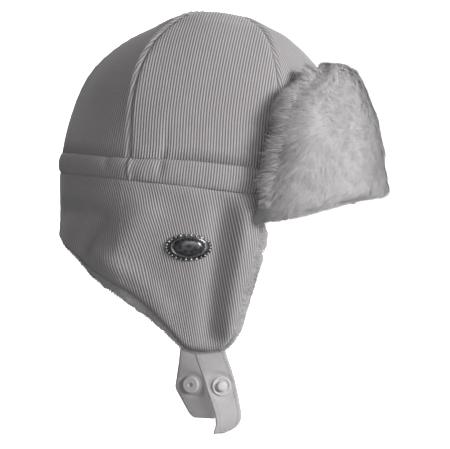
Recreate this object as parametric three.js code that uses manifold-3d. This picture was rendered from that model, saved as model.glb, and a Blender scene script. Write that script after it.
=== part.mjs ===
// A child's winter cap with ear flaps and a turned-up fur brim, in millimetres.
// +X is the wearer's front, +Y the wearer's left and +Z up. The origin is the middle of the head
// opening, level with the seam between the band and the flaps.
import * as THREE from "three";
import { mergeVertices } from "three/addons/utils/BufferGeometryUtils.js";
import Module from "manifold-3d";

const wasm = await Module();
wasm.setup();

const degrees = Math.PI / 180;

// Crown and band
const crownLength = 196; // outside, front to back, at the band
const crownWidth = 156; // outside, ear to ear, at the band
const crownTop = 119; // apex above the head opening
const hatTilt = 6.5 * degrees; // the front sits lower than the back
const openingRoundness = 2.2; // exponent of the head opening, 2 is an ellipse
const topRoundness = 2.8; // the same near the top, where the crown is squarer
const lengthRoundness = 2; // exponent of the crown's outline seen from the side
const widthRoundness = 2.8; // and seen from the front
const capStart = 0.9; // share of the crown's height where its soft top begins
const capFrontCurve = 2.1; // how the top rounds off fore and aft
const capSideCurve = 3.2; // and towards the ears
const frontSeamAngle = 58 * degrees; // from +X to the seam before the ear
const backSeamAngle = 53 * degrees; // from -X to the seam behind the ear
const openingFlatness = 0.15; // share of each gore's bulge that is pulled flat at the band
const goreFlatness = 0.5; // and higher up
const clothThickness = 2;
const seamGap = 0.3; // between pieces that are sewn together
const tipReach = 0.03; // share of the soft top left open where the six points meet
const bandHeight = 15.8;
const bandBackHeight = 11.8; // the elastic draws it narrower at the back
const bandBulge = 1.6; // and puffs it out
const bandThickness = 3;

// Ear flaps, each with half of the neck curtain
const flapDrop = 106; // from the head opening to the tip
const flapFrontAngle = 63.8 * degrees; // from +X to the flap's front edge
const flapThickness = 1.8;
const flapTipWidth = 0.77; // share of the hat's width at the tips
const liningThickness = 5;
const liningRoll = 8; // how far the plush shows past the cloth, at most
const liningRollDepth = 0.6; // and how far behind the cloth's face
const frontFlare = 4.5; // the front edge turns out
const frontFlareReach = 16;
const leftSwayBack = 8; // the left flap's tip hangs further back
const leftSwayDown = 3; // and lower

// Lower edge of a flap, from the centre back to the tip. roll is the plush's share of its roll.
const lowerEdge = [
  { turn: 0.0, drop: 0.325, roll: 0.25 },
  { turn: 0.164, drop: 0.377, roll: 0.3 },
  { turn: 0.255, drop: 0.449, roll: 0.45 },
  { turn: 0.352, drop: 0.525, roll: 0.82 },
  { turn: 0.427, drop: 0.583, roll: 0.93 },
  { turn: 0.494, drop: 0.642, roll: 0.96 },
  { turn: 0.565, drop: 0.734, roll: 0.85 },
  { turn: 0.617, drop: 0.825, roll: 0.55 },
  { turn: 0.671, drop: 0.918, roll: 0.4 },
  { turn: 0.71, drop: 0.985, roll: 0.3 },
  { turn: 0.77, drop: 1.0, roll: 0.1 },
  { turn: 0.82, drop: 0.995, roll: 0.1 },
];

// Front edge of a flap, from the tip to the top
const frontEdge = [
  { turn: 0.875, drop: 0.972, roll: 0.35 },
  { turn: 0.906, drop: 0.872, roll: 0.6 },
  { turn: 0.932, drop: 0.709, roll: 0.62 },
  { turn: 0.961, drop: 0.526, roll: 0.82 },
  { turn: 0.989, drop: 0.399, roll: 0.68 },
  { turn: 1.001, drop: 0.285, roll: 0.8 },
  { turn: 1.006, drop: 0.225, roll: 0.5 },
  { turn: 1.012, drop: 0.14, roll: 0.3 },
];

// Soft folds in a flap: valleys between two places, as shares of its turn, its drop and these sizes
const foldDepth = 2.6;
const foldWidth = 11;
const flapFolds = [
  { fromTurn: 0.1, fromDrop: 0.0, toTurn: 0.5, toDrop: 0.48, depth: 1, width: 1 },
  { fromTurn: 0.87, fromDrop: 0.12, toTurn: 0.83, toDrop: 0.8, depth: 0.92, width: 0.73 },
];

// Turned-up fur brim
const brimThickness = 2.4; // the cloth behind the fur
const brimAngle = 60 * degrees; // from +X to the brim's ends, at the fold
const brimTopAngle = 50 * degrees; // and at the top
const brimFrontTop = 87; // above the head opening, at the centre front
const brimSideTop = 73; // and at the ends
const brimSideDrop = 12.5; // the fold hangs this far below the band at the ends
const brimDropStart = 0.4; // share of the brim's half width where it starts to hang
const brimStandOff = 4; // from the crown to the back of the brim
const brimFoldHeight = 12; // the fold is padded this far up, out to the band
const furThickness = 16.5;
const furFoldThickness = 4.5; // more fur at the fold
const furFoldHeight = 34;
const furTopThickness = 2.5; // and at the top
const furTopHeight = 20;
const furLift = 9; // its lower side rises this much from the fold to the front
const furOverhang = 6; // past the cloth's edges
const lockHeight = 3;
const lockColumns = 17; // locks side by side across the brim
const lockRows = 3; // and above each other

// Chin tabs and their snap fasteners
const tabWidth = 21;
const tabLength = 56; // below the flap's tip
const tabTuck = 9; // sewn in this far up
const tabBury = 0.9; // this deep in the plush
const tabThickness = 1.6;
const tabEndRadius = 7;
const studDown = 24; // from the right flap's tip to the stud
const socketDown = 32; // from the left flap's tip to the socket
const snapRadius = 6.2;
const snapHeight = 1.8;
const snapSlope = 1.2; // of the rim
const studRadius = 3.4;
const studHeight = 2.2;
const studSlope = 0.8;
const snapPostRadius = 1.5;
const snapPostGap = 0.1; // between the post and the half that it holds
const snapClearance = 0.3;

// Where a tab hangs, as a share of the flap's turn, and how it swings forward on its way down:
// first and then give the swing in tab lengths
const rightTab = { turn: 0.813, first: 0.37, then: -0.152, power: 2 };
const leftTab = { turn: 0.79, first: -0.255, then: 0.311, power: 3 };

// Metal ornament on the right flap
const badgeWidth = 30;
const badgeHeight = 17;
const badgeThickness = 1.2;
const badgeStandOff = 0.7; // its back clears the bent cloth
const badgeTurn = 0.72; // its place on the flap, as shares of turn and drop
const badgeDrop = 0.37;
const badgeBeads = 18;
const badgeBeadRadius = 1.3;

const lerp = (a, b, t) => a + (b - a) * t;
const clamp = (x, low, high) => Math.min(high, Math.max(low, x));
const smooth = (x) => {
  const t = clamp(x, 0, 1);
  return t * t * (3 - 2 * t);
};
const vector = (x, y, z) => new THREE.Vector3(x, y, z);

// Reads a column of a table at a place in another column, which rises or falls down the table
function lookUp(table, from, to, at) {
  const sense = Math.sign(table.at(-1)[from] - table[0][from]);
  const next = table.findIndex((row) => (row[from] - at) * sense >= 0);
  if (next === 0) return table[0][to];
  if (next < 0) return table.at(-1)[to];
  const [a, b] = [table[next - 1], table[next]];
  return lerp(a[to], b[to], (at - a[from]) / (b[from] - a[from]));
}

// Radius at an angle of an oval with the given half length and half width
function ovalRadius(angle, halfLength, halfWidth, roundness) {
  const along = Math.abs(Math.cos(angle) / halfLength) ** roundness;
  const across = Math.abs(Math.sin(angle) / halfWidth) ** roundness;
  return (along + across) ** (-1 / roundness);
}

// The seams that bound the six gores, as angles from +X
const fullTurn = 2 * Math.PI;
const seams = [
  0,
  frontSeamAngle,
  Math.PI - backSeamAngle,
  Math.PI,
  Math.PI + backSeamAngle,
  fullTurn - frontSeamAngle,
  fullTurn,
];

// Outline of a level section: an oval pulled flat between the seams
function sectionRadius(angle, halfLength, halfWidth, roundness, flatness) {
  const turn = ((angle % fullTurn) + fullTurn) % fullTurn;
  const gore = seams.findIndex((seam, i) => turn <= seams[i + 1]);
  const [from, to] = [seams[gore], seams[gore + 1]];
  const a = ovalRadius(from, halfLength, halfWidth, roundness);
  const b = ovalRadius(to, halfLength, halfWidth, roundness);
  const free = ovalRadius(turn, halfLength, halfWidth, roundness);
  const flat = (a * b * Math.sin(to - from)) / (a * Math.sin(turn - from) + b * Math.sin(to - turn));
  return lerp(free, flat, flatness);
}

// Outline of the head opening, where band and flaps meet
function openingRadius(angle) {
  return sectionRadius(angle, crownLength / 2, crownWidth / 2, openingRoundness, openingFlatness);
}

// Height of the band above the head opening
function bandTop(angle) {
  return lerp(bandHeight, bandBackHeight, smooth(-Math.cos(angle)));
}

// Turns a point of the hat's own level frame into the tilted hat
function tilt(x, y, z) {
  return vector(
    x * Math.cos(hatTilt) + z * Math.sin(hatTilt),
    y,
    -x * Math.sin(hatTilt) + z * Math.cos(hatTilt),
  );
}

// Outline of the crown where it has risen by a share of its height; pull scales its flat gores
function crownRadius(angle, rise, inset, pull = 1) {
  const halfLength = (crownLength / 2 - inset) * (1 - rise ** lengthRoundness) ** (1 / lengthRoundness);
  const halfWidth = (crownWidth / 2 - inset) * (1 - rise ** widthRoundness) ** (1 / widthRoundness);
  const roundness = lerp(openingRoundness, topRoundness, rise ** 3);
  const flatness = pull * lerp(openingFlatness, goreFlatness, smooth(rise * 3));
  return sectionRadius(angle, halfLength, halfWidth, roundness, flatness);
}

// A point of the crown: angle round the head, climb from 0 at the band to 1 at the apex
const wallClimb = 0.68; // share of the climb that is side wall
function crownPoint(angle, climb, inset, gap) {
  const base = bandTop(angle) + seamGap;
  const height = crownTop - base - inset;
  const inward = climb > wallClimb ? lerp(1, tipReach, (climb - wallClimb) / (1 - wallClimb)) : 1;
  const rise = capStart * Math.sin((Math.min(1, climb / wallClimb) * Math.PI) / 2);
  const curve = lerp(capFrontCurve, capSideCurve, Math.sin(angle) ** 2);
  const z = inward < 1 ? height * (1 - (1 - capStart) * inward ** curve) : height * rise;
  const radius = inward * crownRadius(angle, rise, inset);
  const turned = angle + gap / radius;
  return tilt(radius * Math.cos(turned), radius * Math.sin(turned), base + z);
}

// Turns a three.js geometry into one closed mesh that faces out
function closedMesh(geometry) {
  geometry.deleteAttribute("normal");
  geometry.deleteAttribute("uv");
  const merged = mergeVertices(geometry, 1e-3);
  const p = merged.attributes.position;
  const index = merged.index.array;
  const [a, b, c] = [vector(), vector(), vector()];
  let volume = 0;
  for (let i = 0; i < index.length; i += 3) {
    a.fromBufferAttribute(p, index[i]);
    b.fromBufferAttribute(p, index[i + 1]);
    c.fromBufferAttribute(p, index[i + 2]);
    volume += a.dot(b.cross(c));
  }
  if (volume < 0) {
    for (let i = 0; i < index.length; i += 3) {
      [index[i + 1], index[i + 2]] = [index[i + 2], index[i + 1]];
    }
  }
  return merged;
}

// A cloth panel: a box of columns and rows whose points are put in place one by one.
// place takes the shares across, down and in from the outer face.
function panel(columns, rows, place) {
  const geometry = new THREE.BoxGeometry(1, 1, 1, columns, rows, 1);
  const p = geometry.attributes.position;
  for (let i = 0; i < p.count; i++) {
    p.setXYZ(i, ...place(p.getX(i) + 0.5, 0.5 - p.getY(i), p.getZ(i) + 0.5));
  }
  return closedMesh(geometry);
}

// A ring of cloth: the corners of its section are put in place at each angle
function ring(sides, corners, place) {
  const loop = [...corners, corners[0]];
  const geometry = new THREE.LatheGeometry(loop.map((corner, i) => new THREE.Vector2(i + 1, i)), sides);
  const [p, uv] = [geometry.attributes.position, geometry.attributes.uv];
  for (let i = 0; i < p.count; i++) {
    const corner = loop[Math.round(uv.getY(i) * (loop.length - 1))];
    p.setXYZ(i, ...place(uv.getX(i) * fullTurn, corner));
  }
  return closedMesh(geometry);
}

function solidOf(geometry) {
  const merged = closedMesh(geometry.clone());
  return new wasm.Manifold(
    new wasm.Mesh({
      numProp: 3,
      vertProperties: new Float32Array(merged.attributes.position.array),
      triVerts: new Uint32Array(merged.index.array),
    }),
  );
}

function geometryOf(solid) {
  const mesh = solid.getMesh();
  const points = new Float32Array(mesh.numVert * 3);
  for (let i = 0; i < mesh.numVert; i++) {
    points.set(mesh.vertProperties.subarray(i * mesh.numProp, i * mesh.numProp + 3), i * 3);
  }
  return new THREE.BufferGeometry()
    .setAttribute("position", new THREE.BufferAttribute(points, 3))
    .setIndex(new THREE.BufferAttribute(new Uint32Array(mesh.triVerts), 1));
}

const corduroy = new THREE.MeshStandardMaterial({ color: 0x96928f, roughness: 0.95, metalness: 0 });
const plush = new THREE.MeshStandardMaterial({ color: 0xa5a2a2, roughness: 1, metalness: 0 });
const fur = new THREE.MeshStandardMaterial({ color: 0xb0acac, roughness: 1, metalness: 0 });
const twill = new THREE.MeshStandardMaterial({ color: 0xaaa6a6, roughness: 0.8, metalness: 0 });
const plastic = new THREE.MeshStandardMaterial({ color: 0xb4b0b0, roughness: 0.45, metalness: 0 });
const metal = new THREE.MeshStandardMaterial({ color: 0x55545a, roughness: 0.3, metalness: 1 });

const hat = new THREE.Group();
function add(name, geometry, material) {
  const mesh = new THREE.Mesh(geometry, material);
  mesh.name = name;
  hat.add(mesh);
  return mesh;
}

// The six gores of the crown
const goreColumns = 7;
const goreRows = 12;
function crownGore(from, to) {
  return panel(goreColumns, goreRows, (across, down, inwards) => {
    const gap = across === 0 ? seamGap / 2 : across === 1 ? -seamGap / 2 : 0;
    return crownPoint(lerp(from, to, across), 1 - down, clothThickness * inwards, gap);
  });
}
["front_left", "side_left", "back_left", "back_right", "side_right", "front_right"].forEach((name, i) => {
  add("crown_gore_" + name, crownGore(seams[i], seams[i + 1]), corduroy);
});

// The band: an elastic casing all round between the crown and the flaps
const bandSides = 48;
const bandCorners = [
  { out: 0, up: 0 },
  { out: 0.75, up: 0.18 },
  { out: 1, up: 0.5 },
  { out: 0.75, up: 0.82 },
  { out: 0, up: 1 },
  { inside: true, up: 1 },
  { inside: true, up: 0 },
];
add(
  "band",
  ring(bandSides, bandCorners, (angle, corner) => {
    const radius = openingRadius(angle) + (corner.inside ? -bandThickness : corner.out * bandBulge);
    return tilt(radius * Math.cos(angle), radius * Math.sin(angle), bandTop(angle) * corner.up);
  }),
  corduroy,
);

// How far a flap's cloth stands out at a place, from its folds and its turned-out front edge
const flapSpan = Math.PI - flapFrontAngle;
const flapReach = (flapSpan * (crownLength + crownWidth)) / 4; // roughly its length round the head
function flapRelief(turn, drop) {
  const place = new THREE.Vector2(turn * flapReach, drop * flapDrop);
  let relief = 0;
  for (const fold of flapFolds) {
    const start = new THREE.Vector2(fold.fromTurn * flapReach, fold.fromDrop * flapDrop);
    const line = new THREE.Vector2(fold.toTurn * flapReach, fold.toDrop * flapDrop).sub(start);
    const share = clamp(place.clone().sub(start).dot(line) / line.lengthSq(), 0, 1);
    const away = place.distanceTo(start.addScaledVector(line, share));
    relief -= fold.depth * foldDepth * Math.exp(-((away / (fold.width * foldWidth)) ** 2));
  }
  const behind = (lookUp(frontEdge, "drop", "turn", drop) - turn) * flapReach;
  const flare = frontFlare * clamp(1 - behind / frontFlareReach, 0, 1.3) ** 2;
  return relief * smooth(drop * 6) + flare * smooth((drop - 0.16) * 4) * smooth((1 - drop) * 4);
}

// A point of a flap: turn from the centre back, share of the way down to a drop, and depth in
function flapPoint(side, turn, down, endDrop, inset) {
  const angle = Math.PI - turn * flapSpan;
  const radius = openingRadius(angle);
  const x = radius * Math.cos(angle) * Math.cos(hatTilt);
  const top = -x * Math.tan(hatTilt) - seamGap;
  const z = lerp(top, -endDrop * flapDrop, down);
  const drop = clamp(-z / flapDrop, 0, 1);
  const narrow = lerp(1, flapTipWidth, smooth(drop * 0.9) * smooth(turn * 1.6));
  const y = radius * Math.sin(angle) * narrow;
  const normal = new THREE.Vector2(x / crownLength ** 2, y / (crownWidth * narrow) ** 2).normalize();
  const out = flapRelief(turn, drop) - inset;
  const sway = side > 0 ? drop ** 2 : 0;
  return vector(
    x + normal.x * out - sway * leftSwayBack,
    side * (y + normal.y * out),
    z - sway * leftSwayDown + (1 - down) * -normal.x * out * Math.tan(hatTilt),
  );
}

// Length of a flap round the head at a place, for a whole turn
function flapStretch(side, turn, drop) {
  const step = 0.01;
  const [a, b] = [turn - step, turn + step].map((at) => flapPoint(side, at, 1, drop, 0));
  return a.distanceTo(b) / (2 * step);
}

// A flap's edge moved outwards in its flat pattern, by its rows' shares of a length
function widened(edge, by) {
  const flat = edge.map((row) => new THREE.Vector2(row.turn * flapReach, -row.drop * flapDrop));
  return edge.map((row, i) => {
    const before = flat[Math.max(0, i - 1)];
    const after = flat[Math.min(flat.length - 1, i + 1)];
    const along = after.clone().sub(before).normalize();
    const out = i === 0 ? new THREE.Vector2(0, -1) : new THREE.Vector2(along.y, -along.x);
    const moved = flat[i].clone().addScaledVector(out, by * row.roll);
    return { turn: moved.x / flapReach, drop: -moved.y / flapDrop };
  });
}

const flapEdge = [...lowerEdge, ...frontEdge];
const flapRows = 8;
const halfGapTurn = seamGap / 2 / flapReach;
function flapShell(side) {
  return panel(flapEdge.length - 1, flapRows, (across, down, inwards) => {
    const row = flapEdge[Math.round(across * (flapEdge.length - 1))];
    const turn = row.turn + (across === 0 ? halfGapTurn : 0);
    return flapPoint(side, turn, down, row.drop, flapThickness * inwards);
  });
}

// The plush behind a flap: the same grid, with one more row that rolls out past the cloth's edge.
// Its columns count from the front, so that its facets split as the cloth's inner ones do.
function flapLining(side) {
  const rolled = widened(flapEdge, liningRoll);
  const face = flapThickness + seamGap;
  return panel(flapEdge.length - 1, flapRows + 1, (across, down, inwards) => {
    const column = Math.round((1 - across) * (flapEdge.length - 1));
    const level = Math.round(down * (flapRows + 1));
    const turn = column === 0 ? halfGapTurn : 0;
    if (level > flapRows) {
      const row = rolled[column];
      const depth = lerp(liningRollDepth, face + liningThickness * 0.7, inwards);
      return flapPoint(side, row.turn + turn, 1, row.drop, depth);
    }
    const row = flapEdge[column];
    return flapPoint(side, row.turn + turn, level / flapRows, row.drop, face + liningThickness * inwards);
  });
}

// A chin tab in its flat pattern: across from its middle line, and down from the flap's tip
const tabDepth = flapThickness + seamGap + tabBury;
function tabPoint(side, across, down, inset) {
  const tab = side > 0 ? leftTab : rightTab;
  const turn = tab.turn + across / flapStretch(side, tab.turn, 1);
  const tip = flapPoint(side, turn, 1, 1 + Math.min(0, down) / flapDrop, tabDepth + inset);
  const share = Math.max(0, down) / tabLength;
  const swing = tabLength * (tab.first * share + tab.then * share ** tab.power);
  return tip.add(vector(swing, 0, -Math.max(0, down)));
}

// The tab, or with growth the pocket that it is sewn into
const tabColumns = 6;
const tabRows = 14;
function tabPanel(side, growth) {
  return panel(tabColumns, tabRows, (across, down, inwards) => {
    const length = tabLength + growth;
    const at = lerp(-tabTuck - growth, length, down);
    const past = clamp((at - (length - tabEndRadius)) / tabEndRadius, 0, 1);
    const half = tabWidth / 2 + growth - tabEndRadius * (1 - Math.sqrt(1 - past ** 2)) * 0.8;
    const depth = lerp(growth > 0 ? -tabDepth : 0, tabThickness + growth, inwards);
    return tabPoint(side, lerp(-half, half, across), at, depth);
  });
}

// Where a snap sits on a tab: its place on the outer face and the turn of its axis
function snapSeat(side, down) {
  const middle = tabPoint(side, 0, down, 0);
  const across = tabPoint(side, 1, down, 0).sub(middle);
  const along = tabPoint(side, 0, down + 1, 0).sub(middle);
  const axis = across.cross(along).normalize();
  axis.multiplyScalar(Math.sign(axis.y * side));
  return { middle, axis };
}

function latheSolid(outline) {
  return new THREE.LatheGeometry(outline.map(([radius, z]) => new THREE.Vector2(radius, z)), 16);
}

// Puts a lathed piece, turned about +Y, on a snap's axis
function seated(geometry, seat, offset) {
  const turn = new THREE.Quaternion().setFromUnitVectors(vector(0, 1, 0), seat.axis);
  const place = seat.middle.clone().addScaledVector(seat.axis, offset);
  return geometry.clone().applyQuaternion(turn).translate(...place);
}

// The half of a snap with a raised stud, or with a hollow that a stud goes into
function snapFace(hollow) {
  const rim = [
    [0, 0],
    [snapRadius, 0],
    [snapRadius, snapHeight * 0.5],
    [snapRadius - snapSlope, snapHeight],
  ];
  const stud = [
    [studRadius, snapHeight],
    [studRadius, snapHeight + studHeight * 0.7],
    [studRadius - studSlope, snapHeight + studHeight],
    [0, snapHeight + studHeight],
  ];
  const socket = [
    [studRadius * 0.6, snapHeight],
    [studRadius * 0.6, snapHeight * 0.4],
    [0, snapHeight * 0.4],
  ];
  return latheSolid([...rim, ...(hollow ? socket : stud)]);
}

// The smooth cap on the other side of the tab, with the post through it
function snapCap() {
  const post = tabThickness + 2 * snapClearance - snapPostGap;
  return latheSolid([
    [0, -snapHeight],
    [snapRadius * 0.6, -snapHeight * 0.95],
    [snapRadius * 0.95, -snapHeight * 0.5],
    [snapRadius, 0],
    [snapPostRadius, 0],
    [snapPostRadius, post],
    [0, post],
  ]);
}

// An oval ornament bent to the flap: a plate with a beaded rim and a raised middle
function badge() {
  const [halfWidth, halfHeight] = [badgeWidth / 2 - badgeBeadRadius, badgeHeight / 2 - badgeBeadRadius];
  const plate = new THREE.CylinderGeometry(1, 1, badgeThickness, 32, 1).rotateX(Math.PI / 2);
  plate.scale(halfWidth, halfHeight, 1).translate(0, 0, badgeThickness / 2);
  let solid = solidOf(plate);
  for (let i = 0; i < badgeBeads; i++) {
    const angle = (i / badgeBeads) * fullTurn;
    const bead = new THREE.SphereGeometry(badgeBeadRadius, 6, 3).rotateX(Math.PI / 2);
    bead.translate(halfWidth * Math.cos(angle), halfHeight * Math.sin(angle), badgeThickness);
    solid = solid.add(solidOf(bead));
  }
  const dome = new THREE.SphereGeometry(1, 16, 8).rotateX(Math.PI / 2);
  dome.scale(halfWidth * 0.62, halfHeight * 0.55, badgeThickness).translate(0, 0, badgeThickness);
  solid = solid.add(solidOf(dome));
  const geometry = geometryOf(solid);
  const p = geometry.attributes.position;
  const stretch = flapStretch(-1, badgeTurn, badgeDrop);
  for (let i = 0; i < p.count; i++) {
    const drop = badgeDrop - p.getY(i) / flapDrop;
    const out = Math.max(0, p.getZ(i)) + badgeStandOff;
    p.setXYZ(i, ...flapPoint(-1, badgeTurn + p.getX(i) / stretch, 1, drop, -out));
  }
  return geometry;
}

for (const [name, side] of [["right", -1], ["left", 1]]) {
  add("ear_flap_" + name, flapShell(side), corduroy);
  const pocket = solidOf(tabPanel(side, seamGap));
  add("flap_lining_" + name, geometryOf(solidOf(flapLining(side)).subtract(pocket)), plush);
  const seat = snapSeat(side, side > 0 ? socketDown : studDown);
  const [holeRadius, holeLength] = [snapPostRadius + snapClearance, 5 * tabThickness];
  const drill = seated(new THREE.CylinderGeometry(holeRadius, holeRadius, holeLength, 16), seat, 0);
  add("chin_tab_" + name, geometryOf(solidOf(tabPanel(side, 0)).subtract(solidOf(drill))), twill);
}

const studSeat = snapSeat(-1, studDown);
add("snap_stud", seated(snapFace(false), studSeat, snapClearance), plastic);
add("snap_stud_cap", seated(snapCap(), studSeat, -tabThickness - snapClearance), plastic);
const socketSeat = snapSeat(1, socketDown);
const inward = { middle: socketSeat.middle, axis: socketSeat.axis.clone().negate() };
add("snap_socket", seated(snapFace(true), inward, tabThickness + snapClearance), plastic);
add("snap_socket_cap", seated(snapCap(), inward, -snapClearance), plastic);
add("badge", badge(), metal);

// A point of the brim: shares across and up, and how far out from the crown.
// past moves it beyond the cloth's edges, and lift raises it.
function brimPoint(across, up, out, past = 0, lift = 0) {
  const share = Math.abs(2 * across - 1);
  const side = Math.sign(2 * across - 1);
  const fold = -brimSideDrop * smooth((share - brimDropStart) / (1 - brimDropStart));
  const top = lerp(brimFrontTop, brimSideTop, smooth((share - 0.45) / 0.55));
  const h = lerp(fold - past * 0.3, top + past, up) + lift;
  const ends = lerp(brimAngle, brimTopAngle, up);
  const angle = side * share * (ends + past / (crownWidth / 2));
  const rise = clamp((h - bandTop(angle)) / (crownTop - bandTop(angle)), 0, capStart);
  const radius = crownRadius(angle, rise, 0, 0) + out;
  return tilt(radius * Math.cos(angle), radius * Math.sin(angle), h);
}

// The cloth of the brim: a padded fold against the band, then a wall that stands off the crown
add(
  "brim",
  panel(20, 8, (across, down, inwards) => {
    const up = 1 - down;
    const h = up * brimFrontTop;
    const back = lerp(bandBulge + seamGap, brimStandOff, smooth(h / brimFoldHeight - 0.5));
    return brimPoint(across, up, lerp(brimStandOff + brimThickness, back, inwards));
  }),
  corduroy,
);

// The fur: one body with overlapping locks, thicker at the fold
add(
  "brim_fur",
  panel(2 * lockColumns, 4 * lockRows, (across, down, inwards) => {
    const up = 1 - down;
    const back = brimStandOff + brimThickness + seamGap;
    const edge = Math.min(up, down, across * 1.6, (1 - across) * 1.6);
    const round = Math.sqrt(1 - (1 - clamp(edge * 6, 0, 1)) ** 2 * 0.84);
    const column = Math.round(across * 2 * lockColumns);
    const row = Math.round(down * 4 * lockRows) + (column % 4 < 2 ? 0 : 2);
    const lock = lockHeight * ((row % 4) / 3) * (column % 2 === 1 ? 1 : 0.3);
    const fold = furFoldThickness * (1 - smooth((up * brimFrontTop) / furFoldHeight));
    const middle = smooth(Math.min(across, 1 - across) * 5);
    const crest = furTopThickness * middle * (1 - smooth((down * brimFrontTop) / furTopHeight));
    const thick = (furThickness + fold + crest + lock - lockHeight / 2) * round;
    const lift = furLift * middle * down ** 6 * (1 - inwards);
    return brimPoint(across, up, back + thick * (1 - inwards), furOverhang, lift);
  }),
  fur,
);

export default hat;
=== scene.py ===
import math

import bpy
import bmesh
import numpy as np
from mathutils import Matrix, Vector


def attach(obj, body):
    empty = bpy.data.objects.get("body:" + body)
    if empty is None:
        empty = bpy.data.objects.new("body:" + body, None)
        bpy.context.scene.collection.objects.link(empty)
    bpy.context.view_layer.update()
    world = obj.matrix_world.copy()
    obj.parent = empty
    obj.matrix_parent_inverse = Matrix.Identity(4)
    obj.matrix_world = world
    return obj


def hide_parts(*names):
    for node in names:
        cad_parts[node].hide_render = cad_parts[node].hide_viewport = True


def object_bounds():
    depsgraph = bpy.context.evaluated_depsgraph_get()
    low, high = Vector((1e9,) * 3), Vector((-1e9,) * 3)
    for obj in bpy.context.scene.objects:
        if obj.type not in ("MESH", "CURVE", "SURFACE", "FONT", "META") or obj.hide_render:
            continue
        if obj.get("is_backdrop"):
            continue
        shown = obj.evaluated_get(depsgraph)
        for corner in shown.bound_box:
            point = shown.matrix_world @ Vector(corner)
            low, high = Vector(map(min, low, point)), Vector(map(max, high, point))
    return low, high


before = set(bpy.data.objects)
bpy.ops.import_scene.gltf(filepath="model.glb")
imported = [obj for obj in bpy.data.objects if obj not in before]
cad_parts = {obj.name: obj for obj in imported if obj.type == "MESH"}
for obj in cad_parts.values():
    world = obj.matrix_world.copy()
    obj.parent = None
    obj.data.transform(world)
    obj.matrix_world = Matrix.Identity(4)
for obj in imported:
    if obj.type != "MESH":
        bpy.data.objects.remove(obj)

# A child's corduroy winter hat with a turned-up fur brim. Sizes in the dictionaries are millimetres
# and degrees unless a note says otherwise. Meshes are metres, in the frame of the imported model.
# +X is the wearer's front, +Y the wearer's left, +Z up.

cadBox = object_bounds()
mm = 0.001


def mix(a, b, t):
    return a + (b - a) * t


def ease(x):
    t = np.clip(x, 0, 1)
    return t * t * (3 - 2 * t)


def bell(x, width):
    return np.exp(-((x / width) ** 2))


def ripple(u, v, seed):  # smooth noise from -1 to 1, one swing per unit of u and v
    lattice = np.random.default_rng(seed).uniform(-1, 1, (64, 64))
    u, v = np.broadcast_arrays(np.asarray(u, float), np.asarray(v, float))
    i, j = np.floor(u).astype(int), np.floor(v).astype(int)
    a, b = ease(u - i), ease(v - j)
    corner = lambda di, dj: lattice[(i + di) % 64, (j + dj) % 64]
    return mix(mix(corner(0, 0), corner(1, 0), a), mix(corner(0, 1), corner(1, 1), a), b)


def arc(points):  # length along the last but one axis, from its start
    step = np.linalg.norm(np.diff(points, axis=-2), axis=-1)
    return np.concatenate([np.zeros(step.shape[:-1] + (1,)), np.cumsum(step, axis=-1)], axis=-1)


def awayFrom(place, line):  # the least distance from places to a line through points
    best = np.full(place.shape[:-1], 1e3)
    for a, b in zip(line[:-1], line[1:]):
        share = np.clip((place - a) @ (b - a) / ((b - a) @ (b - a)), 0, 1)
        best = np.minimum(best, np.linalg.norm(place - a - share[..., None] * (b - a), axis=-1))
    return best


def unit(v):
    return v / np.maximum(np.linalg.norm(v, axis=-1, keepdims=True), 1e-9)

def stacked(*parts):  # the parts, brought to one shape, as coordinates of points
    return np.stack(np.broadcast_arrays(*parts), axis=-1)


# Camera and studio. Lamps and walls are in metres
view = {
    "distance": 1000, "elevation": 1.5, "lens": 117, "sensor": 36, "aim": (15, 0, -25.5),
    "lamps": {  # place, size and power
        "key": ((1.2, -0.86, 0.36), 0.6, 28),
        "fill": ((0.4, -1.55, 0.12), 1.3, 8),
        "back": ((-0.55, 0.95, 1.4), 1.3, 10),
    },
    "skyLight": 0.27, "floorGlow": 0.93,
    "wallRadius": 1.6, "wallCurve": 0.7, "wallHeight": 3, "floorLevel": -0.42,
    "curveSteps": 13, "wallSteps": 96,
}


def pointed(name, data, place, direction):  # a camera or lamp at a place
    item = bpy.data.objects.new(name, data)
    bpy.context.scene.collection.objects.link(item)
    item.location = place
    item.rotation_euler = direction.to_track_quat("-Z", "Y").to_euler()
    return item


def makeStudio():
    scene = bpy.context.scene
    scene.view_settings.view_transform = "Standard"
    rise = math.radians(view["elevation"])
    aim = Vector(view["aim"]) * mm
    away = Vector((0, -math.cos(rise), math.sin(rise))) * view["distance"] * mm
    scene.camera = pointed("camera", bpy.data.cameras.new("camera"), aim + away, -away)
    scene.camera.data.sensor_width, scene.camera.data.lens = view["sensor"], view["lens"]
    for name, (place, size, power) in view["lamps"].items():
        lamp = pointed(name, bpy.data.lights.new(name, "AREA"), Vector(place), -Vector(place))
        lamp.data.shape, lamp.data.size, lamp.data.energy = "DISK", size, power
    world = bpy.data.worlds.new("studio")
    world.use_nodes = True
    sky = world.node_tree.nodes["Background"]
    sky.inputs["Color"].default_value = (1, 1, 1, 1)
    sky.inputs["Strength"].default_value = view["skyLight"]
    scene.world = world

    # A pale floor that curves up into a round wall
    radius, curve, low = view["wallRadius"], view["wallCurve"], view["floorLevel"]
    profile = [(0, low)]
    for t in np.linspace(0, math.pi / 2, view["curveSteps"]):
        profile.append((radius - curve * (1 - math.sin(t)), curve * (1 - math.cos(t)) + low))
    profile.append((radius, view["wallHeight"] + low))
    floor = fromBmesh("floor", spun(profile, view["wallSteps"]), floorMaterial())
    floor.visible_diffuse = floor.visible_glossy = floor.visible_shadow = False
    floor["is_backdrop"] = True


# Meshes
ribbon = {"knots": np.array([0, 0.38, 0.72, 1.0]), "quickShare": 0.4}


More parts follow.
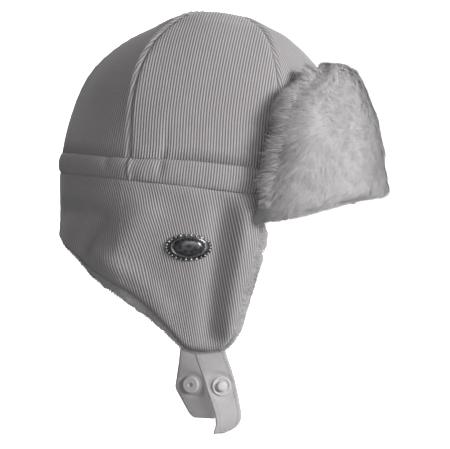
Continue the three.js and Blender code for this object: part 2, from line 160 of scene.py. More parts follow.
def linked(name, mesh, material):
    piece = bpy.data.objects.new(name, mesh)
    bpy.context.scene.collection.objects.link(piece)
    mesh.materials.append(material)
    mesh.shade_smooth()
    return piece


def fromBmesh(name, bm, material):
    mesh = bpy.data.meshes.new(name)
    bm.to_mesh(mesh)
    bm.free()
    return linked(name, mesh, material)


def edited(mesh, change):  # puts a mesh through a function of its bmesh
    bm = bmesh.new()
    bm.from_mesh(mesh)
    change(bm)
    bm.to_mesh(mesh)
    bm.free()


def spun(profile, steps):  # a profile of radius and height turned about the upright
    bm = bmesh.new()
    line = [bm.verts.new((x, 0, z)) for x, z in profile]
    edges = [bm.edges.new(pair) for pair in zip(line, line[1:])]
    bmesh.ops.spin(bm, geom=line + edges, cent=(0, 0, 0), axis=(0, 0, 1), angle=2 * math.pi, steps=steps,
                   use_merge=True)
    bmesh.ops.remove_doubles(bm, verts=bm.verts, dist=1e-6)
    bmesh.ops.recalc_face_normals(bm, faces=bm.faces)
    return bm


def weld(bm):
    bmesh.ops.remove_doubles(bm, verts=bm.verts, dist=2e-6)
    bmesh.ops.dissolve_degenerate(bm, edges=bm.edges, dist=1e-7)


def closeHoles(bm):
    bmesh.ops.holes_fill(bm, edges=[e for e in bm.edges if e.is_boundary], sides=0)
    bmesh.ops.recalc_face_normals(bm, faces=bm.faces)


def gridMesh(name, points, uv, material, mirrored=False, closed=False):
    # A flat grid whose vertices move to rows x columns of points, in mm, seen from outside with
    # the rows going up and the columns going right, or left if mirrored. Its open ends fill if closed
    if mirrored:
        points, uv = points[:, ::-1], uv[:, ::-1]
    rows, columns = points.shape[0] - 1, points.shape[1] - 1
    mesh = bpy.data.meshes.new(name)
    edited(mesh, lambda bm: bmesh.ops.create_grid(bm, x_segments=columns, y_segments=rows, size=1))
    flat = np.empty(len(mesh.vertices) * 3)
    mesh.vertices.foreach_get("co", flat)
    flat = flat.reshape(-1, 3)
    column = np.rint((flat[:, 0] + 1) / 2 * columns).astype(int)
    row = np.rint((flat[:, 1] + 1) / 2 * rows).astype(int)
    mesh.vertices.foreach_set("co", (points[row, column] * mm).ravel())
    corner = np.empty(len(mesh.loops), int)
    mesh.loops.foreach_get("vertex_index", corner)
    layer = mesh.uv_layers.new(name="cloth")
    layer.data.foreach_set("uv", uv[row[corner], column[corner]].ravel())
    edited(mesh, weld)
    piece = linked(name, mesh, material)
    if closed:
        edited(mesh, closeHoles)
    return piece


def finishCloth(piece, thickness, inner=None):  # gives a sheet its thickness, inwards
    modifier = piece.modifiers.new("thickness", "SOLIDIFY")
    modifier.thickness = thickness * mm
    modifier.offset = -1
    if inner is not None:
        piece.data.materials.append(inner)
        modifier.material_offset = 1


def seat(piece, slot, *nodes):
    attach(piece, "root")
    if nodes:
        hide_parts(*nodes)


def fewer(count):
    return round(count * (1))


def ribbonMesh(name, spine, half, shade, material):
    # Flat fibres along spines of four points, with half their width at the first three
    verts = np.concatenate([spine[:, :3] - half, spine[:, :3] + half, spine[:, 3:]], axis=1)
    count = len(verts)
    base = np.arange(count)[:, None] * 7
    quads = np.array([[0, 1, 4, 3], [1, 2, 5, 4]])
    local = np.concatenate([quads.ravel(), [2, 6, 5]])  # two quads and a triangle, 11 corners
    corners = base + local
    sizes = np.tile([4, 4, 3], count)
    starts = np.concatenate([[0], np.cumsum(sizes)[:-1]])
    mesh = bpy.data.meshes.new(name)
    mesh.vertices.add(count * 7)
    mesh.vertices.foreach_set("co", (verts * mm).ravel())
    mesh.loops.add(corners.size)
    mesh.loops.foreach_set("vertex_index", corners.ravel())
    mesh.polygons.add(len(sizes))
    mesh.polygons.foreach_set("loop_start", starts)
    mesh.update(calc_edges=True)
    along = ribbon["knots"][[0, 1, 2, 0, 1, 2, 3]]
    uv = np.empty((count, 11, 2))
    uv[..., 0] = shade[:, None]
    uv[..., 1] = along[local][None, :]
    mesh.uv_layers.new(name="cloth").data.foreach_set("uv", uv.ravel())
    return linked(name, mesh, material)


# Materials
class Look:  # a material, with short ways to add and join its nodes
    def __init__(self, name):
        self.material = bpy.data.materials.new(name)
        self.material.use_nodes = True
        self.tree = self.material.node_tree
        self.place = self.add("ShaderNodeTexCoord").outputs["Object"]

    def feed(self, node, inputs):
        for key, value in inputs.items():
            if hasattr(value, "links"):
                self.tree.links.new(value, node.inputs[key])
            else:
                node.inputs[key].default_value = value

    def add(self, kind, inputs=None, **settings):
        node = self.tree.nodes.new(kind)
        for key, value in settings.items():
            setattr(node, key, value)
        self.feed(node, inputs or {})
        return node

    def parts(self, vector):
        return self.add("ShaderNodeSeparateXYZ", {0: vector}).outputs

    def cloth(self):  # the piece's own coordinates
        return self.parts(self.add("ShaderNodeUVMap", uv_map="cloth").outputs[0])

    def math(self, operation, a, b=0.0):
        return self.add("ShaderNodeMath", {0: a, 1: b}, operation=operation).outputs[0]

    def noise(self, scale, detail=3.0, roughness=0.55):
        inputs = {"Scale": scale, "Detail": detail, "Roughness": roughness, "Vector": self.place}
        return self.add("ShaderNodeTexNoise", inputs).outputs[0]

    def range(self, value, low=0.3, high=0.7, toLow=0, toHigh=1):
        inputs = {"Value": value, "From Min": low, "From Max": high, "To Min": toLow, "To Max": toHigh}
        return self.add("ShaderNodeMapRange", inputs).outputs[0]

    def mixColour(self, factor, a, b):
        a, b = ((*c, 1) if isinstance(c, tuple) else c for c in (a, b))
        return self.add("ShaderNodeMix", {0: factor, 6: a, 7: b}, data_type="RGBA").outputs[2]

    def clouded(self, a, b, scale, share, low=0.3):  # soft patches of b on a
        return self.mixColour(self.range(self.noise(scale, 3), low, 0.7, 0, share), a, b)

    def bump(self, height, strength, distance):
        inputs = {"Height": height, "Strength": strength, "Distance": distance}
        return self.add("ShaderNodeBump", inputs).outputs[0]

    def done(self, colour, roughness, sheen=0.0, specular=0.5, others=None):
        inputs = {"Base Color": colour, "Roughness": roughness, "Sheen Weight": sheen, "Specular IOR Level": specular}
        self.feed(self.tree.nodes["Principled BSDF"], {**inputs, **(others or {})})
        return self.material


def toned(colour, share):
    return tuple(min(1, c * share) for c in colour)


def floorMaterial():
    n = Look("pale_floor")
    colour = n.mixColour(n.noise(3, 2), (0.84, 0.84, 0.84), (0.88, 0.88, 0.88))
    return n.done(colour, 0.9, others={"Emission Color": (1, 1, 1, 1), "Emission Strength": view["floorGlow"]})


corduroyLook = {
    "ridge": (0.40, 0.381, 0.389), "grooveShade": (0.113, 0.106, 0.11), "fuzz": (0.45, 0.431, 0.44),
    "roughness": 0.92, "sheen": 0.25, "backGrooveShade": 0.35, "backEvenShade": 0.36, "backFrom": -0.034, "backTo": -0.068,
}


def corduroyMaterial():
    n = Look("fine_corduroy")
    look = corduroyLook
    # Painted shade in the grooves: a darker colour is mixed in where this wave is high
    wave = n.math("ABSOLUTE", n.math("SINE", n.math("MULTIPLY", n.cloth()[0], math.pi)))  # 1 in a groove
    fuzz = n.noise(2600, 2, 0.7)
    depth = n.math("MULTIPLY", n.math("POWER", wave, 1.7), n.range(fuzz, toLow=0.7, toHigh=1.1))
    # The painted groove shade fades towards the back, where an even painted shade takes its place
    fore = n.parts(n.place)[0]
    opened = n.range(fore, look["backTo"], look["backFrom"], look["backGrooveShade"], 1)
    closed = n.range(fore, look["backTo"], look["backFrom"], look["backEvenShade"], 0)
    depth = n.math("ADD", n.math("MULTIPLY", depth, opened), closed)
    colour = n.mixColour(depth, n.clouded(look["ridge"], look["fuzz"], 90, 0.35), look["grooveShade"])
    return n.done(colour, look["roughness"], look["sheen"], 0.15, {"Normal": n.bump(fuzz, 0.35, 0.0003)})


def fleeceMaterial(name, colour, contrast=0.12, scale=1500):
    n = Look(name)
    curl = n.noise(scale, 3, 0.65)
    high = toned(colour, 1 + contrast)
    mixed = n.mixColour(n.range(curl), toned(colour, 1 - contrast * 2), high)
    mixed = n.mixColour(n.range(n.noise(60, 2), toHigh=0.3), mixed, high)
    return n.done(mixed, 0.95, 0.4, 0.1, {"Normal": n.bump(curl, 0.6, 0.0006)})


def furMaterial(name, root, tip):
    n = Look(name)
    shade, along, _ = n.cloth()
    colour = n.mixColour(n.range(along, 0.0, 0.9), root, tip)
    colour = n.clouded(colour, toned(tip, 1.15), 150, 0.5, 0.35)
    return n.done(n.mixColour(shade, toned(root, 0.3), colour), 0.75, 0.3, 0.25)


def wovenMaterial(name, colour, pitch=11.0):
    n = Look(name)
    across, down = (n.math("SINE", n.math("MULTIPLY", part, pitch)) for part in n.cloth()[:2])
    weave = n.math("MULTIPLY", across, down)
    high = toned(colour, 1.06)
    mixed = n.mixColour(n.range(weave, -1, 1, 0.2, 0.8), toned(colour, 0.86), high)
    return n.done(n.clouded(mixed, high, 220, 0.5), 0.8, 0.2, 0.2, {"Normal": n.bump(weave, 0.25, 0.0002)})


def plasticMaterial(name, colour):
    n = Look(name)
    wear = n.noise(500, 4)
    colour = n.mixColour(n.range(wear, 0.35, 0.65), toned(colour, 0.93), colour)
    grain = {"Normal": n.bump(n.noise(900, 2), 0.05, 0.0003)}
    return n.done(colour, n.range(wear, toLow=0.32, toHigh=0.46), others=grain)


def metalMaterial(name, dark, bright):
    n = Look(name)
    worn = n.noise(420, 4)
    colour = n.mixColour(n.range(worn, 0.4), dark, bright)
    return n.done(colour, n.range(worn, toLow=0.24, toHigh=0.42), others={"Metallic": 1.0})


makeStudio()
corduroy = corduroyMaterial()
innerCloth = fleeceMaterial("inner_lining", (0.33, 0.318, 0.322), 0.08, 2500)
fleece = fleeceMaterial("short_fleece", (0.345, 0.334, 0.337), 0.2)
furPile = furMaterial("fur_pile", (0.275, 0.264, 0.268), (0.44, 0.427, 0.431))
fuzz = furMaterial("fleece_fuzz", (0.285, 0.275, 0.279), (0.395, 0.383, 0.387))
woven = wovenMaterial("tab_cotton", (0.372, 0.356, 0.361))
thread = wovenMaterial("thread", (0.38, 0.365, 0.37))
plastic = plasticMaterial("satin_plastic", (0.47, 0.453, 0.458))
gunmetal = metalMaterial("gunmetal", (0.09, 0.09, 0.095), (0.22, 0.22, 0.23))
# The beads' metal is a brighter copy of the gunmetal: a painted highlight
brightMetal = metalMaterial("bead_highlight_metal", (0.16, 0.16, 0.165), (0.55, 0.55, 0.56))
print("studio and materials ready")

# The hat's own form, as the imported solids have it
hat = {
    "length": 196, "width": 156, "top": 119, "tilt": 6.5,
    "openingRoundness": 2.2, "topRoundness": 2.8, "lengthRoundness": 2, "widthRoundness": 2.8,
    "capStart": 0.9, "capFrontCurve": 2.1, "capSideCurve": 3.2, "wallClimb": 0.68,
    "frontSeam": 58, "backSeam": 53, "openingFlatness": 0.15, "goreFlatness": 0.5,
    "bandHeight": 15.8, "bandBackHeight": 11.8, "bandBulge": 1.6, "seamGap": 0.3,
    "seamBend": 3.4, "backFull": 1.7, "backFlat": 2.6, "topFlat": 1.5, "ribSteps": 4,
}
bothSides = {"right": -1, "left": 1}
seams = np.radians([0, hat["frontSeam"], 180 - hat["backSeam"], 180, 180 + hat["backSeam"],
                    360 - hat["frontSeam"], 360])
meanRadius = (hat["length"] + hat["width"]) / 4
tiltCos, tiltSin = math.cos(math.radians(hat["tilt"])), math.sin(math.radians(hat["tilt"]))
slope = tiltSin / tiltCos


def ovalRadius(angle, halfLength, halfWidth, roundness):
    along = np.abs(np.cos(angle) / halfLength) ** roundness
    across = np.abs(np.sin(angle) / halfWidth) ** roundness
    return (along + across) ** (-1 / roundness)


def sectionRadius(angle, halfLength, halfWidth, roundness, flatness):
    turn = np.mod(angle, 2 * np.pi)
    gore = np.clip(np.searchsorted(seams, turn) - 1, 0, 5)
    start, stop = seams[gore], seams[gore + 1]
    a = ovalRadius(start, halfLength, halfWidth, roundness)
    b = ovalRadius(stop, halfLength, halfWidth, roundness)
    chord = a * b * np.sin(stop - start) / (a * np.sin(turn - start) + b * np.sin(stop - turn))
    return mix(ovalRadius(turn, halfLength, halfWidth, roundness), chord, flatness)


def openingRadius(angle):
    return sectionRadius(angle, hat["length"] / 2, hat["width"] / 2, hat["openingRoundness"],
                         hat["openingFlatness"])


def bandTop(angle):
    return mix(hat["bandHeight"], hat["bandBackHeight"], ease(-np.cos(angle)))


def ringPoint(radius, angle, z):  # a place round the hat's upright, which leans with the hat
    x, y, z = np.broadcast_arrays(radius * np.cos(angle), radius * np.sin(angle), z)
    return np.stack([x * tiltCos + z * tiltSin, y, -x * tiltSin + z * tiltCos], axis=-1)


def crownRadius(angle, rise, out, pull=1):
    ways = (("length", "lengthRoundness"), ("width", "widthRoundness"))
    halfLength, halfWidth = (
        (hat[way] / 2 + out) * (1 - rise ** hat[power]) ** (1 / hat[power]) for way, power in ways)
    roundness = mix(hat["openingRoundness"], hat["topRoundness"], rise ** 3)
    flatness = pull * mix(hat["openingFlatness"], hat["goreFlatness"], ease(rise * 3))
    return sectionRadius(angle, halfLength, halfWidth, roundness, flatness)


def seamShift(angle, climb):  # how far the back seams bend forwards near the band
    turn = np.mod(angle, 2 * np.pi)
    near = bell(turn - seams[4], 0.3) - bell(turn - seams[2], 0.3)
    return math.radians(hat["seamBend"]) * near * (1 - ease(climb / 0.17))


def crownPoint(angle, climb, out):
    back = ease(-1.3 * np.cos(angle))
    out = out + back * (hat["backFull"] * bell(climb - 0.26, 0.1) - hat["backFlat"] * bell(climb - 0.57, 0.14))
    out = out - hat["topFlat"] * ease((climb - 0.55) * 3)
    base = bandTop(angle) + hat["seamGap"]
    height = hat["top"] - base + out
    wall = hat["wallClimb"]
    inward = np.clip(1 - (climb - wall) / (1 - wall), 0, 1)
    rise = hat["capStart"] * np.sin(np.minimum(1, climb / wall) * np.pi / 2)
    curve = mix(hat["capFrontCurve"], hat["capSideCurve"], np.sin(angle) ** 2)
    z = np.where(climb > wall, height * (1 - (1 - hat["capStart"]) * inward ** curve), height * rise)
    radius = inward * crownRadius(angle, rise, out)
    return ringPoint(radius, angle + seamShift(angle, climb), base + z)


# The band round the head, and the six gores of the crown above it, with their ribs
band = {
    "rib": 1.73, "ribHeight": 0.4, "rows": 10, "thickness": 3, "under": 1.2,
    "bulge": 1.3, "backBulge": 2.0, "tuck": 0.6, "gather": 0.5, "seamWidth": 0.85, "seamHeight": 0.75,
    "seamFold": 0.8, "seamHollow": -1.2,
    "dentAngle": 250.2, "dent": 1.3, "dentWidth": 3.0, "dentShare": 0.7,
}
gores = {
    "rib": 1.8, "ribHeight": 0.42, "rows": 24, "thickness": 2, "lowLean": 1, "highLean": 3,
    "edgeWidth": 3.6, "edgeDepth": 1.4, "rollHeight": 1.0, "rollWidth": 2.7, "rollSoft": 2.2,
    "pucker": 0.5, "puckerWidth": 9, "swell": 0.8, "swellWidth": 26, "backRibs": 0.5,
}


def openingArc(angle):  # length round the head opening
    return arc(openingRadius(angle)[:, None] * stacked(np.cos(angle), np.sin(angle)))


def ribNumbers(first, last):  # with the columns of the mesh between them
    return np.linspace(first, last, (last - first) * hat["ribSteps"] + 1)


def ribbed(number, share):  # height of the ribs, where number counts them and share fades them
    return share * np.abs(np.cos(np.pi * number)) ** 0.75


def dent(angle):  # one place on the right where the crown and band are drawn in together
    away = np.mod(angle, 2 * np.pi) - math.radians(band["dentAngle"])
    return band["dent"] * bell(away * meanRadius, band["dentWidth"])


def makeGore(name, i, side, rollAtStart, rollAtStop):
    start, stop = seams[i], seams[i + 1]
    climb = np.linspace(0, 1, gores["rows"] + 1)
    level = climb[:, None]
    fine = np.linspace(start, stop, 241)
    length = arc(crownPoint(*np.meshgrid(fine, climb), 0.0))
    half = length[:, -1:] / 2
    up = arc(crownPoint(np.full_like(climb, (start + stop) / 2), climb, 0.0))
    lean = side * np.tan(np.radians(mix(gores["lowLean"], gores["highLean"], ease(climb * 1.5))))
    shift = np.concatenate([[0], np.cumsum(np.diff(up) * (lean[1:] + lean[:-1]) / 2)])[:, None]
    first = math.floor(np.min(-half - shift) / gores["rib"])
    last = math.ceil(np.max(half - shift) / gores["rib"])
    number, _ = np.meshgrid(ribNumbers(first, last), climb)
    across = np.clip(number * gores["rib"] + shift, -half, half)
    angle = np.stack([np.interp(across[k], length[k] - half[k], fine) for k in range(len(climb))])
    toStart, toStop = across + half, half - across
    edge = np.minimum(toStart, toStop)
    out = -gores["edgeDepth"] * (1 - ease(edge / np.minimum(gores["edgeWidth"], half * 0.8 + 0.01))) ** 2
    nap = mix(gores["backRibs"], 1, ease(1.9 + 2.2 * np.cos(angle)))
    out = out + ribbed(number, gores["ribHeight"] * ease(edge / 1.2) * nap)
    for share, away in ((rollAtStart, toStart), (rollAtStop, toStop)):
        roll = ease((level - 0.12) * 6) * bell(away - gores["rollWidth"], gores["rollSoft"])
        out = out + share * gores["rollHeight"] * roll
    pucker = ripple(across / gores["puckerWidth"], level * 5 + i, 11 + i) * (1 - ease(level * 3.2))
    swell = ripple(across / gores["swellWidth"], level * 4, 31 + i) * ease(edge / 14)
    out = out + gores["pucker"] * pucker * ease(level * 20) + gores["swell"] * swell * ease(level * 8)
    out = out - dent(angle) * (1 - ease(level * 9))
    points = crownPoint(angle, np.broadcast_to(level, angle.shape), out)
    piece = gridMesh("crown_" + name, points, stacked(number, up[:, None] / 10), corduroy)
    finishCloth(piece, gores["thickness"], innerCloth)
    seat(piece, "corduroy", "crown_gore_" + name)


for i, (name, side, rollAtStart, rollAtStop) in enumerate((
        ("front_left", 0, 0, 0.3), ("side_left", -1, 0, 0), ("back_left", 0, 1, 0.4),
        ("back_right", 0, 0.4, 1), ("side_right", 1, 0, 0), ("front_right", 0, 0.3, 0))):
    makeGore(name, i, side, rollAtStart, rollAtStop)
print("crown made")


def makeBand():
    fine = np.linspace(0, 2 * np.pi, 1441)
    length = openingArc(fine)
    count = round(length[-1] / band["rib"])
    numbers, ups = np.meshgrid(ribNumbers(0, count), np.linspace(0, 1, band["rows"] + 1))
    along = np.interp(numbers / count * length[-1], length, fine)
    turn = np.mod(along, 2 * np.pi)
    lean = bell(turn - seams[4], 0.28) + bell(turn - seams[2], 0.28)
    angle = along + (ups - 0.5) * lean * 0.05
    back = ease(-np.cos(angle) * 1.4)
    puff = 1 - np.abs(2 * ups - 1) ** 2
    out = mix(band["bulge"], band["backBulge"], back) * puff - band["tuck"] * (1 - puff) ** 4
    out = out + ribbed(numbers, band["ribHeight"] * ease(puff * 6))
    for seam, way in ((seams[4], 1), (seams[2], -1)):  # a fold and a hollow beside it
        away = meanRadius * (way * (np.mod(angle, 2 * np.pi) - seam) - math.radians(hat["seamBend"]))
        for place, share in ((band["seamFold"], 1), (band["seamHollow"], -1)):
            out = out + share * band["seamHeight"] * bell(away - place, band["seamWidth"])
    out = out + band["gather"] * puff * (0.4 + back) * ripple(numbers / 3.1, ups * 1.5, 5)
    out = out - dent(angle) * band["dentShare"] * ease(ups * 1.6)
    out[:, -1] = out[:, 0]
    height = mix(-band["under"], bandTop(angle) + band["under"], ups)
    points = ringPoint(openingRadius(angle) + out, angle, height)
    piece = gridMesh("hat_band", points, stacked(numbers, ups * 1.6), corduroy)
    finishCloth(piece, band["thickness"], innerCloth)
    seat(piece, "corduroy", "band")


makeBand()
print("band made")

# The ear flaps. Their outline is held as shares of the turn from the centre back and of the drop
flap = {
    "drop": 106, "front": 63.8, "tipWidth": 0.77, "thickness": 1.8, "leftBack": 8, "leftDown": 3, "under": 1.2,
    "foldDepth": 4.2, "foldWidth": 12, "rib": 1.78, "ribHeight": 0.48, "rows": 30,
    "leanBack": 13, "leanMiddle": 18, "leanFront": 11, "leanFade": 0.2, "backRibs": 0.4,
    "hemWidth": 2.0, "hemDepth": 0.5, "hemFold": 0.3, "hemInset": 3.6, "seamDepth": 0.9,
    "pucker": 0.5, "swell": 0.8,
}
lowerEdge = [  # turn, drop, and how far the plush rolls out, as a share
    (0, .325, .25), (.164, .377, .3), (.255, .449, .45), (.352, .525, .82), (.427, .583, .93),
    (.494, .642, .96), (.565, .734, .85), (.617, .825, .55), (.671, .918, .4), (.71, .985, .3),
    (.77, 1, .1), (.82, .995, .1)]
frontEdge = [
    (.875, .972, .35), (.906, .872, .6), (.932, .709, .62), (.961, .526, .82), (.989, .399, .68),
    (1.001, .285, .8), (1.006, .225, .5), (1.012, .14, .3)]
flapFolds = [  # lines of turn and drop, then depth and width as shares; a ridge has a minus sign
    (((.1, .11), (.28, .12), (.355, .19), (.27, .37)), 1.2, .7),
    (((.51, 0), (.55, .12), (.47, .35), (.42, .46)), -1.0, 1.0),
    (((.35, .41), (.43, .47), (.5, .54), (.57, .63), (.62, .74)), -.6, .62),
    (((.865, .08), (.84, .35), (.82, .6), (.815, .86)), .9, .72),
    (((.96, .02), (.938, .35), (.906, .62), (.882, .86)), -1.2, .66)]
flapSpan = math.pi - math.radians(flap["front"])
flatScale = np.array([flapSpan * meanRadius, flap["drop"]])  # mm for a whole turn and a whole drop


def smoothEdge(count):  # the outline with its corners rounded, evenly spaced
    scale = [*flatScale, 1]
    flat = np.array(lowerEdge + frontEdge, float) * scale
    for _ in range(3):
        quarter = mix(flat[:-1], flat[1:], 0.25)
        threeQuarters = mix(flat[:-1], flat[1:], 0.75)
        middle = np.stack([quarter, threeQuarters], axis=1).reshape(-1, 3)
        flat = np.concatenate([flat[:1], middle[1:-1], flat[-1:]])
    length = arc(flat[:, :2])
    even = np.linspace(0, length[-1], count)
    return np.stack([np.interp(even, length, column) for column in flat.T], axis=-1) / scale


flapOutline = smoothEdge(400)


def edgeDrop(turn):
    return np.interp(turn, flapOutline[:, 0], flapOutline[:, 1])


def topDrop(turn):
    angle = np.pi - turn * flapSpan
    return (openingRadius(angle) * np.cos(angle) * tiltSin + hat["seamGap"]) / flap["drop"]


def flapRelief(turn, drop):
    place = stacked(turn, drop) * flatScale
    relief = 0
    for line, depth, width in flapFolds:
        away = awayFrom(place, np.array(line) * flatScale)
        relief = relief - depth * flap["foldDepth"] * bell(away, width * flap["foldWidth"])
    return relief * ease(drop * 6)


def flapPoint(side, turn, drop, out):
    angle = np.pi - turn * flapSpan
    radius = openingRadius(angle)
    fall = np.clip(drop, 0, 1)
    narrow = mix(1, flap["tipWidth"], ease(fall * 0.9) * ease(turn * 1.6))
    x, y = radius * np.cos(angle) * tiltCos, radius * np.sin(angle) * narrow
    nx, ny = x / hat["length"] ** 2, y / (hat["width"] * narrow) ** 2
    size = np.hypot(nx, ny)
    nx, ny = nx / size, ny / size
    out = flapRelief(turn, fall) + out
    sway = fall ** 2 * (side > 0)  # the left flap hangs a little further back and lower
    top = topDrop(turn)
    near = 1 - np.clip((drop - top) / np.maximum(edgeDrop(turn) - top, 0.05), 0, 1)
    z = -drop * flap["drop"] - sway * flap["leftDown"] - near * nx * out * slope
    return stacked(x + nx * out - sway * flap["leftBack"], side * (y + ny * out), z)


def edgeDistance(turn, drop):  # mm to the flap's lower and front edges, in the flat
    outline = flapOutline[::8, :2] * flatScale
    return awayFrom(stacked(turn, drop) * flatScale, np.concatenate([outline, [[flatScale[0], 0]]]))


def makeFlap(name, side):
    fine = np.linspace(-0.2, 1.1, 1300)
    length = openingArc(np.pi - fine * flapSpan)
    number = ribNumbers(0, math.floor(length[-1] / flap["rib"]))
    column = np.interp(number * flap["rib"], length, fine)
    lean = np.interp(column, (0, 0.45, 0.95), (flap["leanBack"], flap["leanMiddle"], flap["leanFront"]))
    lean = np.tan(np.radians(lean)) * flap["drop"] / flatScale[0]
    slide = lambda drop: lean * (drop + 0.1 - flap["leanFade"] * np.maximum(0, drop) ** 2)
    # Each rib runs between the first and last places where its line lies inside the outline
    probe = np.linspace(-0.12, 1.0, 3000)[:, None]
    turn = column + slide(probe)
    inside = (turn >= 0) & (turn <= flapOutline[-1, 0]) & (probe <= edgeDrop(turn)) & (probe >= topDrop(turn))
    good = inside.any(axis=0)
    number, column, lean, inside = number[good], column[good], lean[good], inside[:, good]
    first = probe[inside.argmax(axis=0), 0]
    last = probe[len(probe) - 1 - inside[::-1].argmax(axis=0), 0]
    first = np.where(first < topDrop(column) + 0.02, first - flap["under"] / flap["drop"], first)
    drop = mix(first, last, np.linspace(1, 0, flap["rows"] + 1)[:, None])
    turn = np.clip(column + slide(drop), 0, flapOutline[-1, 0])
    edge = edgeDistance(turn, drop)
    fromTop = (drop - topDrop(turn)) * flap["drop"]
    nap = mix(flap["backRibs"], 1, ease((turn - 0.12) * 4.5))
    out = ribbed(number, flap["ribHeight"] * nap * ease(edge / 1.5) * ease(fromTop / 1.0))
    out = out - flap["hemDepth"] * (1 - ease(edge / flap["hemWidth"])) ** 2
    out = out - flap["seamDepth"] * (1 - ease(fromTop / 2.2)) ** 2
    out = out + flap["hemFold"] * bell(edge - flap["hemInset"], flap["hemWidth"]) * ease(fromTop / 12)
    out = out + flap["pucker"] * bell(fromTop - 5, 9) * ripple(turn * 18, drop * 3, 21)
    out = out + flap["swell"] * ripple(turn * 6, drop * 4 + 3, 22) * ease(fromTop / 20) * ease(edge / 15)
    points = flapPoint(side, turn, drop, out)
    uv = stacked(number, drop * flap["drop"] / 10)
    piece = gridMesh("flap_cloth_" + name, points, uv, corduroy, mirrored=side > 0)
    finishCloth(piece, flap["thickness"])
    seat(piece, "corduroy", "ear_flap_" + name)


for name, side in bothSides.items():
    makeFlap(name, side)
print("flaps made")

# The plush behind each flap, rolled out past its edge
lining = {
    "thickness": 5, "seam": 0.3, "roll": 8, "rollDepth": 0.6, "frontShare": 1.25, "lumps": 0.22, "soft": 0.35,
    "columns": 220, "innerSteps": 15, "rollSteps": 12, "hiddenSteps": 10, "fibres": 6000, "fibreLength": 1.8,
}
plushFace = flap["thickness"] + lining["seam"]
plushBack = plushFace + lining["thickness"]


def plushEdge(count):  # the outline, with the ways along it and out of it in the flat
    edge = smoothEdge(count)
    along = unit(np.gradient(edge[:, :2] * flatScale, axis=0))
    outward = np.stack([-along[:, 1], along[:, 0]], axis=-1)
    outward[0] = (0, 1)
    return edge, along, outward


def plushRoll(turn, roll, swing, late):  # how far out and how deep the plush lies as it rolls round the edge
    reach = lining["roll"] * roll * np.sin(swing) ** 0.8 * mix(1, lining["frontShare"], ease(turn * 20 - 17.5))
    depth = mix(plushBack, plushFace, (1 - np.cos(swing)) / 2)
    return reach, depth - (plushFace - lining["rollDepth"]) * np.sin(swing) * ease(late)


def makeLining(name, side):
    edge, _, outward = plushEdge(lining["columns"] + 1)
    turn, drop, roll = edge.T
    top = topDrop(turn)
    loops = []
    for down in np.linspace(0, 1, lining["innerSteps"]):  # the side next to the head, from the top to the edge
        soft = lining["soft"] * ripple(turn * 25, down * 12, 41)
        loops.append((turn, mix(top, drop, down), -plushBack - soft))
    for step in np.linspace(0, 1, lining["rollSteps"])[1:-1]:  # round the edge
        reach, depth = plushRoll(turn, roll, math.pi * step, step * 1.6 - 0.5)
        reach = reach * (1 + lining["lumps"] * ripple(turn * 40 + drop * 30, step * 3, 42))
        moved = edge[:, :2] + outward * reach[:, None] / flatScale
        loops.append((*moved.T, -depth))
    for down in np.linspace(1, 0, lining["hiddenSteps"]):  # hidden behind the cloth
        loops.append((turn, mix(top, drop, down), -plushFace - 0.5))
    loops.append(loops[0])
    points = np.stack([flapPoint(side, *loop) for loop in loops])
    uv = stacked(turn * 18, np.linspace(0, 10, len(loops))[:, None])
    piece = gridMesh("flap_plush_" + name, points[::-1], uv[::-1], fleece, mirrored=side > 0, closed=True)
    seat(piece, "plush", "flap_lining_" + name)


def makeFuzz(name, side):  # short curled fibres over the plush where it shows past the cloth
    rng = np.random.default_rng(17 + side)
    count = fewer(lining["fibres"])
    edge, along, outward = plushEdge(400)
    where = rng.integers(1, 400, count)
    edge, along, outward = edge[where], along[where], outward[where]
    swing = math.pi * rng.uniform(0.15, 1, count)
    reach, depth = plushRoll(edge[:, 0], edge[:, 2], swing, swing / 2 - 0.5)
    length = lining["fibreLength"] * rng.uniform(0.6, 1.3, count)
    slide = rng.normal(0, 0.5, count)
    spine = []
    for step in ribbon["knots"]:
        out = reach - 0.5 + length * step * np.sin(swing)
        curl = slide * length * step ** 1.5
        flat = edge[:, :2] * flatScale + outward * out[:, None] + along * curl[:, None]
        spine.append(flapPoint(side, *(flat / flatScale).T, -(depth + length * step * 0.6 * np.cos(swing))))
    half = unit(rng.normal(0, 1, (count, 3)))[:, None] * np.array([0.13, 0.14, 0.1])[None, :, None]
    shade = np.clip(0.9 + 0.1 * rng.normal(0, 1, count), 0, 1)
    seat(ribbonMesh("plush_fuzz_" + name, np.stack(spine, axis=1), half, shade, fuzz), "plush")


for name, side in bothSides.items():
    makeLining(name, side)
    makeFuzz(name, side)
print("linings made")

# The turned-up brim: its cloth, and the fur in front of it
brim = {
    "thickness": 2.4, "standOff": 4, "foldHeight": 12, "overhang": 3.5,
    "angle": 60, "topAngle": 49.5, "cornerAngle": 8, "cornerStart": 0.8,
    "frontTop": 84, "sideTop": 74.5, "sideStart": 0.68, "sideDrop": 11.8, "dropStart": 0.4,
    "fur": 16.5, "frontFur": 1.6, "foldFur": 5.5, "foldFurHeight": 34, "topFur": 2.5, "topFurHeight": 20,
    "lowLift": 3, "frontLift": 6, "crestLift": 5.5, "crestUp": 0.945, "sink": 2.6,
}
furBack = brim["standOff"] + brim["thickness"] + hat["seamGap"]


def brimPoint(across, up, out, past=0.0, lift=0.0):
    share, side = np.abs(2 * across - 1), np.sign(2 * across - 1)
    fold = -brim["sideDrop"] * ease((share - brim["dropStart"]) / (1 - brim["dropStart"]))
    top = mix(brim["frontTop"], brim["sideTop"], ease((share - brim["sideStart"]) / (1 - brim["sideStart"])))
    height = mix(fold - past * 0.3, top + past, up) + lift
    corner = ease((up - brim["cornerStart"]) / (1 - brim["cornerStart"]))
    ends = np.radians(mix(brim["angle"], brim["topAngle"], up ** 2) - brim["cornerAngle"] * corner)
    angle = side * share * (ends + past / (hat["width"] / 2))
    rise = np.clip((height - bandTop(angle)) / (hat["top"] - bandTop(angle)), 0, hat["capStart"])
    return ringPoint(crownRadius(angle, rise, 0.0, 0) + out, angle, height)


